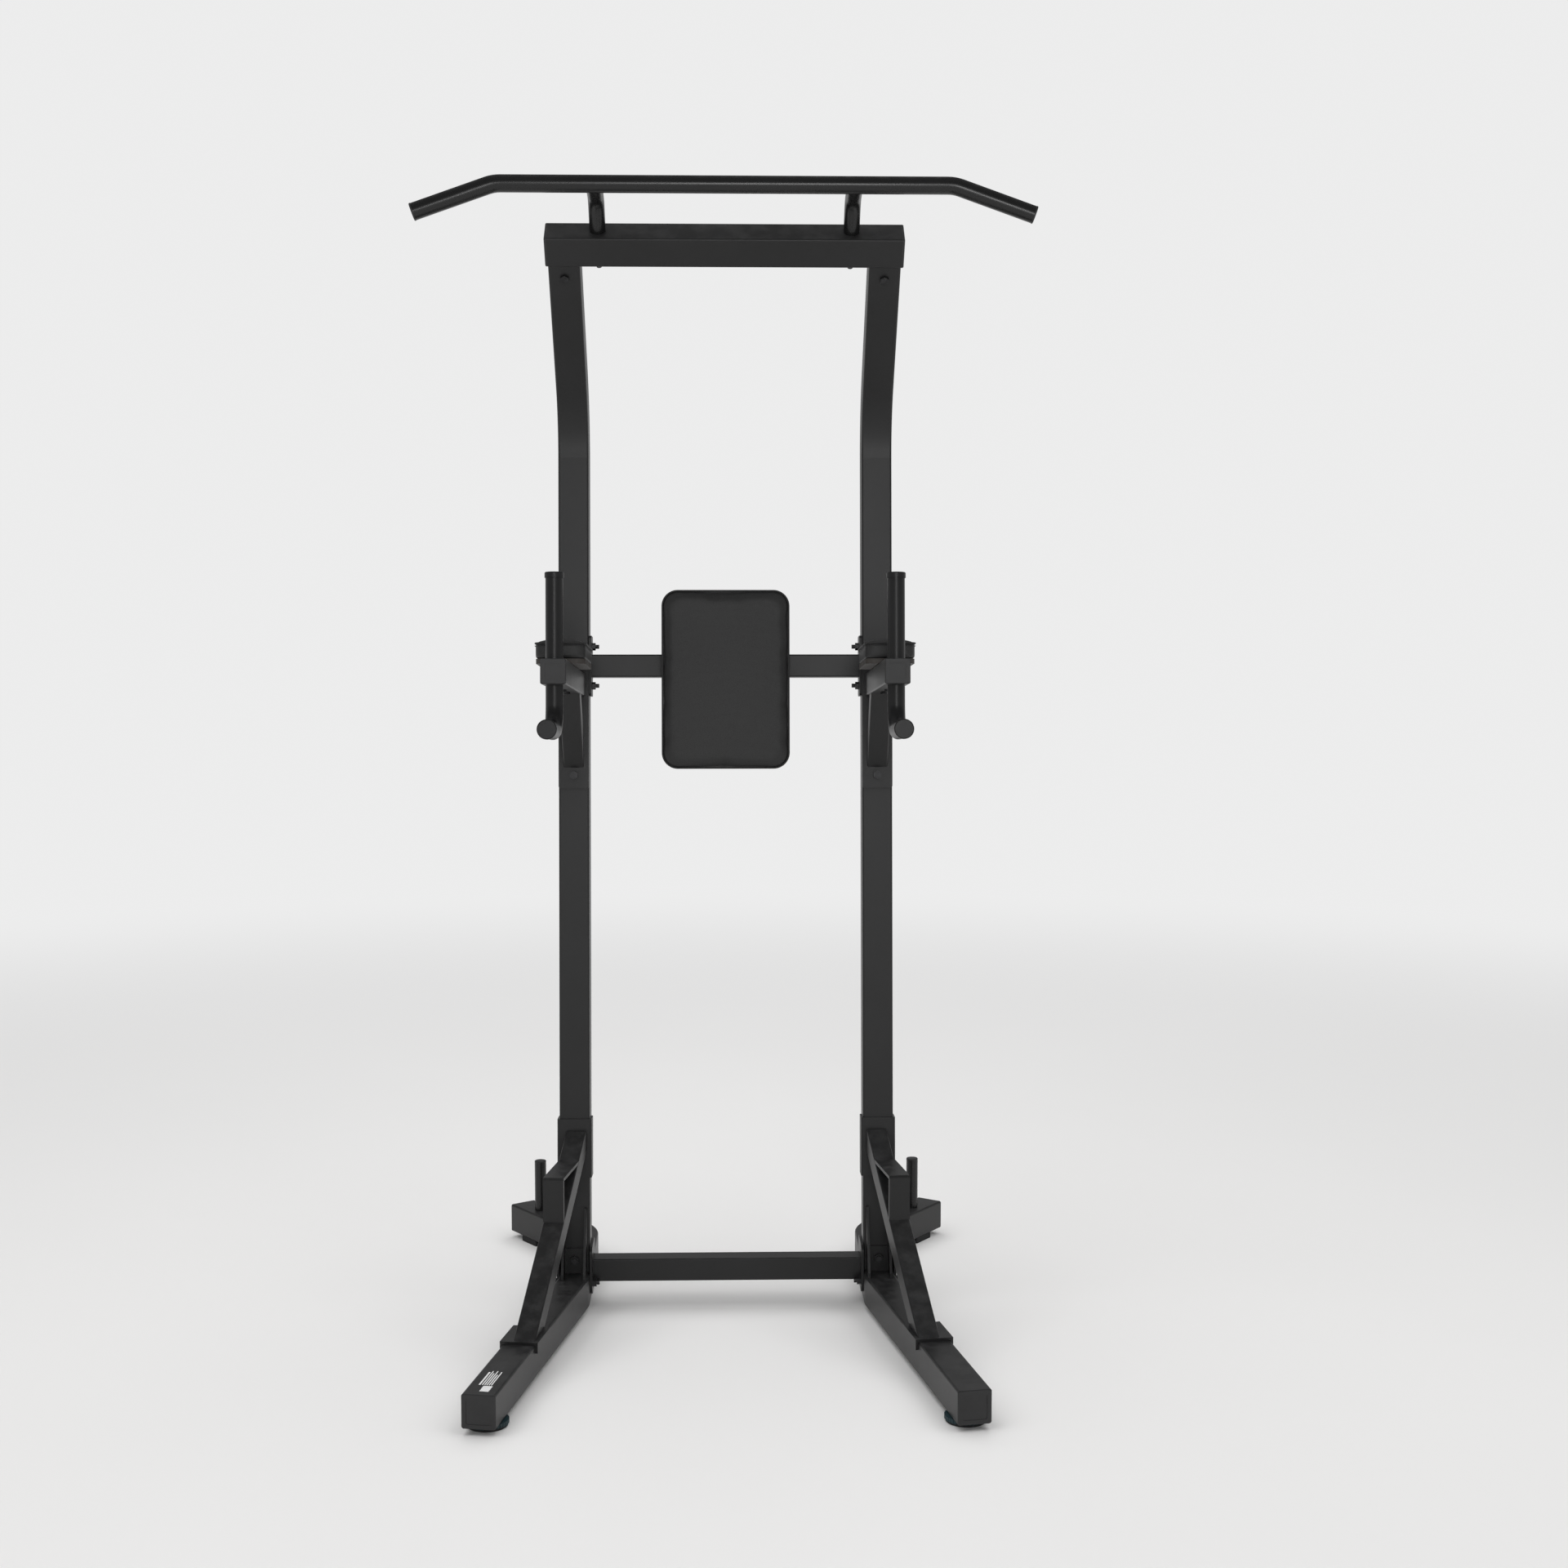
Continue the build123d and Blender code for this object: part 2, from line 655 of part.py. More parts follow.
with BuildPart() as backrest_plate:
    plate_origin = (post_inner - plate, backrest_bolt_v, backrest_bar_center)
    with BuildSketch(Plane(origin=plate_origin, x_dir=(0, 1, 0), z_dir=(1, 0, 0))):
        RectangleRounded(backrest_plate_width, backrest_plate_height, 6)
        with GridLocations(0, backrest_bolt_spacing, 1, 2):
            Circle(small_hole, mode=Mode.SUBTRACT)
    extrude(amount=plate)
save_group(both_sides(backrest_plate.part, leaned), "backrest_plates")
for height in backrest_bolt_heights:
    head_seat = Vector(post_outer, backrest_bolt_v, height)
    nut_seat = Vector(post_inner - plate, backrest_bolt_v, height)
    screw, nut = bolt_and_nut(head_seat, nut_seat, small)
    small_bolts += both_sides(screw, leaned)
    small_nuts += both_sides(nut, leaned)
for seat, tip in backrest_screws:
    small_bolts.append((bolt(seat, tip, small_bolt_radius, small_head_radius, small_head_height), leaned))

board_front = bar_front - backrest_board
with BuildPart() as backrest_panel:
    panel_origin = (0, bar_front, backrest_pad_center)
    with BuildSketch(Plane(origin=panel_origin, x_dir=(1, 0, 0), z_dir=(0, -1, 0))):
        board_width = backrest_width - 2 * board_inset
        RectangleRounded(board_width, backrest_height - 2 * board_inset, backrest_corner)
    extrude(amount=backrest_board)
save(drilled(backrest_panel.part, *bar_holes), "backrest_board", leaned)
with BuildPart() as backrest_pad:
    pad_origin = (0, board_front, backrest_pad_center)
    with BuildSketch(Plane(origin=pad_origin, x_dir=(1, 0, 0), z_dir=(0, -1, 0))):
        RectangleRounded(backrest_width, backrest_height, backrest_corner)
    extrude(amount=board_front + backrest_front)
    fillet(backrest_pad.faces().sort_by(Axis.Y)[0].edges(), radius=pad_edge)
save(backrest_pad.part, "backrest_pad", leaned)

# ---------------------------------------------------------------- arms
arm_plate_holes = []
for height in (arm_bolt_low, arm_bolt_high):
    arm_plate_holes.append((Vector(post_x, -plate - 5, height), Vector(post_x, 5, height), big_hole))
    head_seat = Vector(post_x, -plate, height)
    screw, nut = bolt_and_nut(head_seat, Vector(post_x, post_side, height), big)
    big_bolts += both_sides(screw, leaned)
    big_nuts += both_sides(nut, leaned)
with BuildPart() as arm_plate:
    plate_origin = (post_x, 0, (arm_plate_low + arm_plate_high) / 2)
    with BuildSketch(Plane(origin=plate_origin, x_dir=(1, 0, 0), z_dir=(0, -1, 0))):
        RectangleRounded(post_side, arm_plate_high - arm_plate_low, 5)
    extrude(amount=plate)
save_pair(drilled(arm_plate.part, *arm_plate_holes), "arm_plate", leaned)

arm_center = arm_top - brace_side / 2
arm_end = Vector(post_x, -arm_reach + cap_thickness, arm_center)
with BuildPart() as arm_tube:
    with BuildSketch(Plane(origin=(post_x, -plate, arm_center), x_dir=(1, 0, 0), z_dir=(0, -1, 0))):
        add(hollow_square(brace_side, brace_wall, small_corner))
    extrude(amount=arm_reach - cap_thickness - plate)
arm_holes = [(
    Vector(handle_x, -handle_forward, arm_bottom - 10),
    Vector(handle_x, -handle_forward, arm_top + 10),
    handle_diameter / 2 + fit_gap,
)]
elbow_bolt_vs = (-elbow_bolt_first, -elbow_bolt_second)
for v in elbow_bolt_vs:
    seat = Vector(post_x, v, arm_bottom)
    tip = Vector(post_x, v, arm_top + elbow_board - 1)
    arm_holes.append((seat - Vector(0, 0, 5), tip + Vector(0, 0, 0.5), small_hole))
    board_bolt = bolt(seat, tip, small_bolt_radius, small_head_radius, small_head_height)
    small_bolts += both_sides(board_bolt, leaned)
save_pair(drilled(arm_tube.part, *arm_holes), "arm_tube", leaned)
forward = Vector(0, -1, 0)
arm_plug = arm_reach - cap_thickness - handle_forward - handle_diameter / 2 - 2 * fit_gap
arm_cap = tube_cap(arm_end, forward, Vector(1, 0, 0), brace_side, brace_wall, small_corner, arm_plug)
save_group(both_sides(arm_cap, leaned), "arm_end_caps")

# The arm brace runs from the plate up to the arm's underside.
brace_low = Vector(post_x, -plate, arm_brace_low)
brace_high = Vector(post_x, -arm_brace_reach, arm_bottom)
arm_brace_along = (brace_high - brace_low).normalized()
arm_brace_back = Vector(0, arm_brace_along.Z, -arm_brace_along.Y)
arm_brace_start = brace_low - arm_brace_along * small_side * 2 + arm_brace_back * small_side / 2
with BuildPart() as arm_brace:
    with BuildSketch(Plane(origin=arm_brace_start, x_dir=(1, 0, 0), z_dir=arm_brace_along)):
        add(hollow_square(small_side, brace_wall, small_corner))
    extrude(amount=(brace_high - brace_low).length + small_side * 4)
    split(bisect_by=Plane(origin=(0, -plate, 0), z_dir=forward), keep=Keep.TOP)
    split(bisect_by=Plane.XY.offset(arm_bottom), keep=Keep.BOTTOM)
save_pair(arm_brace.part, "arm_brace", leaned)

elbow_center = -(elbow_front + elbow_back) / 2
elbow_length = elbow_front - elbow_back
with BuildPart() as elbow_panel:
    with BuildSketch(Plane.XY.offset(arm_top)):
        with Locations((post_x, elbow_center)):
            RectangleRounded(elbow_width - 2 * board_inset, elbow_length - 2 * board_inset, elbow_corner)
    extrude(amount=elbow_board)
save_pair(drilled(elbow_panel.part, *arm_holes[1:]), "elbow_board", leaned)
with BuildPart() as elbow_pad:
    with BuildSketch(Plane.XY.offset(arm_top + elbow_board)):
        with Locations((post_x, elbow_center)):
            RectangleRounded(elbow_width, elbow_length, elbow_corner)
    extrude(amount=elbow_height - elbow_board)
    fillet(elbow_pad.faces().sort_by(Axis.Z)[-1].edges(), radius=pad_edge)
save_pair(elbow_pad.part, "elbow_pad", leaned)

# ---------------------------------------------------------------- handles and grips
handle_head = Vector(handle_x, -handle_forward, handle_top)
handle_turn = Vector(handle_x, -handle_forward, handle_low)
handle_tip = Vector(handle_x, -handle_reach, handle_low)
grip_diameter = handle_diameter + 2 * grip_wall
with BuildLine() as handle_line:
    FilletPolyline(handle_head, handle_turn, handle_tip, radius=handle_bend_radius)
save_pair(swept_round(handle_line.wire(), handle_diameter, handle_wall), "handle_tube", leaned)


def closed_grip(line, tip, outward):
    """A soft sleeve along the line, closed by a thick domed end at its tip."""
    with BuildPart() as grip:
        add(swept_round(line, grip_diameter, grip_wall - grip_slack))
        with BuildSketch(Plane(origin=tip, z_dir=outward)):
            Circle(grip_diameter / 2 + grip_lip)
        extrude(amount=grip_end)
        with BuildSketch(Plane(origin=tip, z_dir=outward)):
            Circle(grip_diameter / 2 + grip_lip)
            Circle(grip_diameter / 2 - grip_wall + grip_slack, mode=Mode.SUBTRACT)
        extrude(amount=-grip_rim)
        circles = grip.edges().filter_by(GeomType.CIRCLE)
        dome = circles.sort_by(lambda edge: (edge.center() - tip).dot(outward))[-1]
        fillet(dome, radius=grip_end / 2)
    return grip.part


with BuildLine() as upper_line:
    Line(Vector(handle_x, -handle_forward, arm_top), handle_head)
with BuildLine() as lower_line:
    FilletPolyline(
        Vector(handle_x, -handle_forward, arm_bottom), handle_turn, handle_tip, radius=handle_bend_radius
    )
save_pair(closed_grip(upper_line.wire(), handle_head, upward), "upper_grip", leaned)
save_pair(closed_grip(lower_line.wire(), handle_tip, forward), "lower_grip", leaned)

# ---------------------------------------------------------------- top beam
support_x = support_spacing / 2
support_foot = at_side(support_x, beam_center + rise * beam_side / 2)
support_seat = at_side(support_x, beam_center - rise * beam_side / 2)
beam_start = at_side(-beam_length / 2, beam_center)
with BuildPart() as top_beam:
    with BuildSketch(Plane(origin=beam_start, x_dir=back, z_dir=(1, 0, 0))):
        add(hollow_square(beam_side, beam_wall, post_corner))
    extrude(amount=beam_length)
beam_holes = []
for side in (-1, 1):
    low = at_side(side * support_x, support_seat - rise * 10)
    high = at_side(side * support_x, support_foot + rise * 10)
    beam_holes.append((low, high, big_hole))
save(drilled(top_beam.part, *beam_holes), "top_beam", leaned)
beam_end = at_side(beam_length / 2, beam_center)
beam_cap = tube_cap(beam_end, Vector(1, 0, 0), back, beam_side, beam_wall, post_corner)
save_group(both_sides(beam_cap, leaned), "beam_end_caps")

spigot_side = post_side - 2 * post_wall - 2 * fit_gap
spigot_top = at_side(post_x, post_top + back * post_mid)
with BuildPart() as beam_spigot:
    with BuildSketch(Plane(origin=spigot_top, x_dir=(1, 0, 0), z_dir=-rise)):
        add(hollow_square(spigot_side, spigot_wall, post_corner - post_wall / 2))
    extrude(amount=spigot_length)
save_group(both_sides(drilled(beam_spigot.part, beam_bolt_line), leaned), "beam_spigots")
screw, nut = bolt_and_nut(beam_bolt_seat, beam_bolt_seat + back * post_side, big)
big_bolts += both_sides(screw, leaned)
big_nuts += both_sides(nut, leaned)

# ---------------------------------------------------------------- bar supports and pull-up bar
bar_at_support = at_side(support_x, bar_center)
bar_approach = Vector(0, -cos(radians(support_rise_angle)), sin(radians(support_rise_angle)))
gap_to_bar = bar_at_support - support_foot
first_run = gap_to_bar.cross(bar_approach).X / rise.cross(bar_approach).X
support_turn = support_foot + rise * first_run
with BuildLine() as support_line:
    FilletPolyline(support_foot, support_turn, bar_at_support, radius=support_bend_radius)
bar_across = rod(bar_at_support - Vector(60, 0, 0), bar_at_support + Vector(60, 0, 0), bar_diameter / 2)
with BuildPart() as bar_support:
    add(swept_round(support_line.wire(), support_diameter, bar_wall))
    add(rod(support_foot, support_foot + rise * support_boss, support_diameter / 2 - bar_wall / 2))
    stud_hole = rod(support_foot, support_foot + rise * (support_boss - 4), bolt_radius + thread_clearance)
    add(stud_hole, mode=Mode.SUBTRACT)
    add(bar_across, mode=Mode.SUBTRACT)
save_group(both_sides(bar_support.part, leaned), "bar_supports")
stud_tip = support_seat - rise * (nut_height + stud_end)
support_stud = rod(stud_tip, support_foot + rise * (support_boss - 6), bolt_radius)
nut_face = support_seat - rise * nut_height
support_nut = hexagon_nut(support_seat, nut_face, nut_radius, bolt_radius + thread_clearance)
big_bolts += both_sides(support_stud, leaned)
big_nuts += both_sides(support_nut, leaned)

bar_tip = Vector(bar_span / 2, -bar_forward, bar_height - bar_drop)
bar_shoulder = Vector(bar_straight / 2, -bar_forward, bar_height)
with BuildLine() as bar_line:
    FilletPolyline(
        Vector(-bar_tip.X, bar_tip.Y, bar_tip.Z),
        Vector(-bar_shoulder.X, bar_shoulder.Y, bar_shoulder.Z),
        bar_shoulder,
        bar_tip,
        radius=bar_bend_radius,
    )
save(swept_round(bar_line.wire(), bar_diameter, bar_wall), "pull_up_bar", leaned)
tip_outward = (bar_tip - bar_shoulder).normalized()
bar_cap = round_cap(bar_tip, tip_outward, bar_diameter, bar_wall, 3, 0.5)
save_group(both_sides(bar_cap, leaned), "bar_end_caps")

# ---------------------------------------------------------------- fasteners
save_group(big_bolts, "m10_bolts")
save_group(big_nuts, "m10_nuts")
save_group(small_bolts, "m8_bolts")
save_group(small_nuts, "m8_nuts")
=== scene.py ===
import json
import math
import bpy
from mathutils import Matrix, Vector


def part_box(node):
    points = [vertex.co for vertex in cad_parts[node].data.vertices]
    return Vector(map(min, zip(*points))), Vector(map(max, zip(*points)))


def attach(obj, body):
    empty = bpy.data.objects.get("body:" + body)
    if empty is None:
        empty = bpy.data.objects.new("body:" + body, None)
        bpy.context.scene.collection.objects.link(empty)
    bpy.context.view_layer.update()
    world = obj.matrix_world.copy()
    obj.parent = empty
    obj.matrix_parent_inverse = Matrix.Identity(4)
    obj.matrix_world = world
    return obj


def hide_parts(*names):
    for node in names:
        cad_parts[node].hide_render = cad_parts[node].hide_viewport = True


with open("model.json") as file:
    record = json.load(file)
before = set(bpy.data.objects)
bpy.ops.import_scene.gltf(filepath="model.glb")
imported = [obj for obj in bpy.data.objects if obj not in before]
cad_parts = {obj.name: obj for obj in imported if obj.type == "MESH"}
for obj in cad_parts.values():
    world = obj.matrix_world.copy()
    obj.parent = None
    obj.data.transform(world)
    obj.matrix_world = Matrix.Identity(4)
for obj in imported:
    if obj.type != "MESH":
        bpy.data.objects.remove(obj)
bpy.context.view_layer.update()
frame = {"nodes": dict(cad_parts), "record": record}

print("frame loaded:", len(frame["nodes"]), "nodes")
nodes = frame["nodes"]
frameLean = math.radians(4.6)      # the posts lean back, and the pads with them


# finishes: every colour, gloss and relief below is worked out on the piece's own place

class Wire:
    # a socket that can be used in sums
    def __init__(self, finish, socket):
        self.finish = finish
        self.socket = socket

    def maths(self, operation, first, second):
        return self.finish.node("ShaderNodeMath", {"operation": operation}, {0: first, 1: second})

    def __add__(self, other):
        return self.maths("ADD", self, other)

    def __radd__(self, other):
        return self.maths("ADD", other, self)

    def __sub__(self, other):
        return self.maths("SUBTRACT", self, other)

    def __rsub__(self, other):
        return self.maths("SUBTRACT", other, self)

    def __mul__(self, other):
        return self.maths("MULTIPLY", self, other)

    def __rmul__(self, other):
        return self.maths("MULTIPLY", other, self)


class Wiring:
    def __init__(self, owner):
        owner.use_nodes = True
        self.tree = owner.node_tree

    def feed(self, socket, value):
        if isinstance(value, Wire):
            self.tree.links.new(value.socket, socket)
        else:
            socket.default_value = value

    def node(self, kind, settings=None, inputs=None, output=0):
        made = self.tree.nodes.new(kind)
        for key, value in (settings or {}).items():
            setattr(made, key, value)
        for key, value in (inputs or {}).items():
            self.feed(made.inputs[key], value)
        return Wire(self, made.outputs[output])

    def stretched(self, scale, turn=(0, 0, 0)):
        return self.node("ShaderNodeMapping", {}, {"Vector": self.place, "Scale": scale, "Rotation": turn})

    def noise(self, scale, detail=2.0, rough=0.5, place=None):
        inputs = {"Vector": place or self.place, "Scale": scale, "Detail": detail, "Roughness": rough}
        return self.node("ShaderNodeTexNoise", {}, inputs)

    def band(self, value, low, high):
        inputs = {"Value": value, "From Min": low, "From Max": high}
        return self.node("ShaderNodeMapRange", {"clamp": True}, inputs)

    def colours(self, factor, first, second):
        inputs = {0: factor, 6: first, 7: second}
        return self.node("ShaderNodeMix", {"data_type": "RGBA"}, inputs, output=2)


class Finish(Wiring):
    def __init__(self, name, roughness, metallic=0.0):
        self.material = bpy.data.materials.new(name)
        super().__init__(self.material)
        self.shader = self.tree.nodes["Principled BSDF"]
        self.shader.inputs["Roughness"].default_value = roughness
        self.shader.inputs["Metallic"].default_value = metallic
        self.place = self.node("ShaderNodeTexCoord", output="Object")

    def upward(self):
        normal = self.node("ShaderNodeNewGeometry", output="Normal")
        parts = self.node("ShaderNodeSeparateXYZ", {}, {0: normal}, output="Z")
        return self.band(parts, 0.55, 0.98)

    def relief(self, height, distance, strength=1.0):
        inputs = {"Height": height, "Distance": distance, "Strength": strength}
        self.feed(self.shader.inputs["Normal"], self.node("ShaderNodeBump", {}, inputs))

    def give(self, **values):
        for key, value in values.items():
            self.feed(self.shader.inputs[key.replace("_", " ")], value)


def grey(level, tint=0.0):
    return (level, level, level * (1 + tint), 1)


def coatFinish(name, level, roughness, peelScale, peelDepth, shine):
    # sprayed and baked coat: orange peel, faint cloudiness, hairline scuffs and a little dust on top
    coat = Finish(name, roughness)
    peel = coat.noise(peelScale, 3.0, 0.55)
    fine = coat.noise(peelScale * 3.1, 2.0)
    cloud = coat.noise(7.0, 4.0, 0.6)
    scuffPlace = coat.stretched((420, 40, 26), (0.3, 0.5, 0.2))
    scuff = coat.band(coat.noise(1.0, 2.0, place=scuffPlace), 0.69, 0.75)
    patchy = coat.band(coat.noise(11.0, 2.0), 0.52, 0.66)
    marks = scuff * patchy
    dust = coat.upward() * coat.band(coat.noise(34.0, 5.0, 0.7), 0.42, 0.72)
    toned = coat.colours(coat.band(cloud, 0.3, 0.7), grey(level * 0.86), grey(level * 1.16, 0.03))
    scuffed = coat.colours(marks * 0.5, toned, grey(level * 2.4, 0.02))
    coat.give(Base_Color=coat.colours(dust * 0.16, scuffed, grey(0.16)))
    coat.give(Roughness=roughness + 0.1 * (cloud - 0.5) + 0.05 * (peel - 0.5) + dust * 0.12 - marks * 0.08)
    coat.give(Specular_IOR_Level=shine)
    coat.relief(peel * 0.75 + fine * 0.25, peelDepth)
    return coat.material


def mouldedFinish(name, colour, roughness, grainScale, grainDepth, shine=0.45):
    # spark-textured moulding with a slightly uneven gloss
    moulded = Finish(name, roughness)
    grain = moulded.noise(grainScale, 2.0, 0.6)
    cloud = moulded.noise(22.0, 3.0, 0.55)
    light = tuple(min(1, part * 1.3) for part in colour) + (1,)
    dark = tuple(part * 0.78 for part in colour) + (1,)
    dust = moulded.upward() * moulded.band(moulded.noise(46.0, 4.0, 0.7), 0.45, 0.75)
    toned = moulded.colours(moulded.band(cloud, 0.3, 0.7), dark, light)
    moulded.give(Base_Color=moulded.colours(dust * 0.14, toned, grey(0.17)))
    moulded.give(Roughness=roughness + 0.12 * (cloud - 0.5) + 0.06 * (grain - 0.5))
    moulded.give(Specular_IOR_Level=shine)
    moulded.relief(grain, grainDepth)
    return moulded.material


def vinylFinish(name, level):
    # leatherette: pebbles parted by fine creases, with pores between them; the creases carry painted shade,
    # coloured darker than the pebbles
    vinyl = Finish(name, 0.5)
    warp = vinyl.noise(160.0, 2.0)
    shift = vinyl.node("ShaderNodeVectorMath", {"operation": "SCALE"}, {0: warp, "Scale": 0.0016})
    bent = vinyl.node("ShaderNodeVectorMath", {"operation": "ADD"}, {0: vinyl.place, 1: shift})
    cellInputs = {"Vector": bent, "Scale": 620.0, "Randomness": 0.95}
    cells = vinyl.node("ShaderNodeTexVoronoi", {"feature": "DISTANCE_TO_EDGE"}, cellInputs)
    pebbleAndCreaseShade = vinyl.band(cells, 0.0, 0.16)
    pores = vinyl.noise(2300.0, 2.0)
    cloud = vinyl.noise(9.0, 4.0, 0.6)
    tone = vinyl.colours(vinyl.band(cloud, 0.3, 0.7), grey(level * 0.88), grey(level * 1.12, 0.02))
    # painted shade: the creases between the pebbles are coloured at half the tone
    vinyl.give(Base_Color=vinyl.colours(pebbleAndCreaseShade, grey(level * 0.5), tone))
    vinyl.give(Roughness=0.56 - 0.09 * pebbleAndCreaseShade + 0.1 * (cloud - 0.5))
    vinyl.give(Specular_IOR_Level=0.4)
    vinyl.relief(pebbleAndCreaseShade * 0.8 + pores * 0.2, 0.00009, 0.8)
    return vinyl.material


def plyFinish(name, plyAxis):
    # ply stained black: plies across the thickness, and grain along the sheet
    ply = Finish(name, 0.6)
    sheet = ply.stretched((1, 1, 1), (frameLean, 0, 0))
    along = ply.stretched((9, 9, 150) if plyAxis == "Y" else (150, 9, 9), (frameLean, 0, 0))
    grain = ply.noise(3.0, 6.0, 0.62, along)
    plies = ply.node("ShaderNodeTexWave", {"wave_type": "BANDS", "bands_direction": plyAxis},
                     {"Vector": sheet, "Scale": 110.0, "Distortion": 0.6, "Detail": 2.0})
    pale = (0.036, 0.03, 0.025, 1)
    brown = (0.017, 0.014, 0.012, 1)
    banded = ply.colours(plies, brown, pale)
    ply.give(Base_Color=ply.colours(ply.band(grain, 0.35, 0.7) * 0.5, banded, brown))
    ply.give(Roughness=0.55 + 0.2 * (grain - 0.5))
    ply.relief(grain * 0.6 + plies * 0.4, 0.00012)
    return ply.material


def platedFinish(name, level, roughness, metallic, tint):
    # plated fastener: drawn grain and small stains
    plated = Finish(name, roughness, metallic)
    drawn = plated.noise(1.0, 3.0, 0.6, plated.stretched((2600, 2600, 300)))
    stain = plated.noise(120.0, 4.0, 0.6)
    toned = plated.colours(plated.band(stain, 0.35, 0.68), grey(level * 0.7, tint), grey(level * 1.15, tint))
    plated.give(Base_Color=toned)
    plated.give(Roughness=roughness + 0.16 * (drawn - 0.5) + 0.14 * (stain - 0.5))
    plated.relief(drawn, 0.00003)
    return plated.material


def inkFinish(name):
    # screen-printed ink with a slightly broken edge and pinholes
    ink = Finish(name, 0.5)
    speckle = ink.band(ink.noise(1500.0, 3.0), 0.62, 0.72)
    ink.give(Base_Color=ink.colours(speckle, grey(0.74), grey(0.52)))
    ink.give(Roughness=0.46 + 0.15 * ink.noise(300.0, 2.0))
    ink.relief(speckle, 0.00002)
    return ink.material


finishes = {
    "powder_coat": coatFinish("satinPowderCoat", 0.0112, 0.41, 820.0, 0.00007, 0.36),
    "gloss_coat": coatFinish("glossPowderCoat", 0.006, 0.27, 520.0, 0.00004, 0.42),
    "caps": mouldedFinish("capPlastic", (0.016, 0.016, 0.0165), 0.5, 2100.0, 0.00006),
    "beam_caps": mouldedFinish("beamCapPlastic", (0.014, 0.014, 0.0145), 0.48, 1900.0, 0.00006),
    "vinyl": vinylFinish("padVinyl", 0.0175),
    "grip": mouldedFinish("gripSleeve", (0.0055, 0.0055, 0.0058), 0.36, 1300.0, 0.00004, 0.3),
    "bolts": platedFinish("blackZinc", 0.035, 0.38, 0.75, 0.03),
    "zinc": platedFinish("brightZinc", 0.55, 0.3, 1.0, 0.02),
    "foot_rubber": mouldedFinish("padRubber", (0.014, 0.014, 0.0145), 0.72, 900.0, 0.00012, 0.3),
    "foot_plastic": mouldedFinish("wheelPlastic", (0.008, 0.026, 0.032), 0.5, 1600.0, 0.00008),
}
boardFinishes = {
    "backrest_board": plyFinish("backPlywood", "Y"),
    "elbow_board_left": plyFinish("elbowPlywood", "Z"),
}
boardFinishes["elbow_board_right"] = boardFinishes["elbow_board_left"]
inkWhite = inkFinish("whiteInk")

for row in frame["record"]["subparts"]:
    name = row["node"]
    finish = boardFinishes.get(name) or finishes.get(row["material_slot"]) or finishes["powder_coat"]
    mesh = nodes[name].data
    mesh.materials.clear()
    mesh.materials.append(finish)


# small helpers for modelling by hand

def deselectAll():
    if bpy.context.object and bpy.context.object.mode != "OBJECT":
        bpy.ops.object.mode_set(mode="OBJECT")
    bpy.ops.object.select_all(action="DESELECT")


def makeActive(piece):
    deselectAll()
    piece.select_set(True)
    bpy.context.view_layer.objects.active = piece


def editSelected(piece, test, domain="EDGE"):
    # selects the faces, edges or corners that pass the test, and stays in edit mode
    makeActive(piece)
    bpy.ops.object.mode_set(mode="EDIT")
    bpy.ops.mesh.select_mode(type=domain)
    bpy.ops.mesh.select_all(action="DESELECT")
    bpy.ops.object.mode_set(mode="OBJECT")
    mesh = piece.data
    points = [vertex.co for vertex in mesh.vertices]
    group = {"VERT": mesh.vertices, "EDGE": mesh.edges, "FACE": mesh.polygons}[domain]
    for part in group:
        corners = [points[part.index]] if domain == "VERT" else [points[i] for i in part.vertices]
        part.select = test(corners)
    bpy.ops.object.mode_set(mode="EDIT")


def leave():
    bpy.ops.object.mode_set(mode="OBJECT")


def applyModifier(piece, kind, **settings):
    makeActive(piece)
    modifier = piece.modifiers.new(kind.lower(), kind)
    for key, value in settings.items():
        setattr(modifier, key, value)
    bpy.ops.object.modifier_apply(modifier=modifier.name)


def slab(name, size):
    deselectAll()
    bpy.ops.mesh.primitive_cube_add(size=1, location=(0, 0, 0))
    piece = bpy.context.object
    piece.name = name
    piece.data.name = name
    piece.scale = size
    bpy.ops.object.transform_apply(location=True, rotation=True, scale=True)
    return piece


def place(piece, centre, turn):
    piece.data.transform(Matrix.Translation(centre) @ turn)
    piece.data.update()
    return piece


def copyOf(piece, name):
    twin = piece.copy()
    twin.data = piece.data.copy()
    twin.name = name
    twin.data.name = name
    bpy.context.scene.collection.objects.link(twin)
    return twin


def dress(piece, material):
    piece.data.materials.clear()
    piece.data.materials.append(material)
    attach(piece, "frame")
    return piece


def middle(node):
    low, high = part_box(node)
    return (Vector(low) + Vector(high)) / 2


# padded pieces, modelled with the cushion's face towards +Z and its back at -Z

cover = {"stretch": 18, "bend": 1.2, "frames": 20, "smoothing": 4, "staples": 0.9}


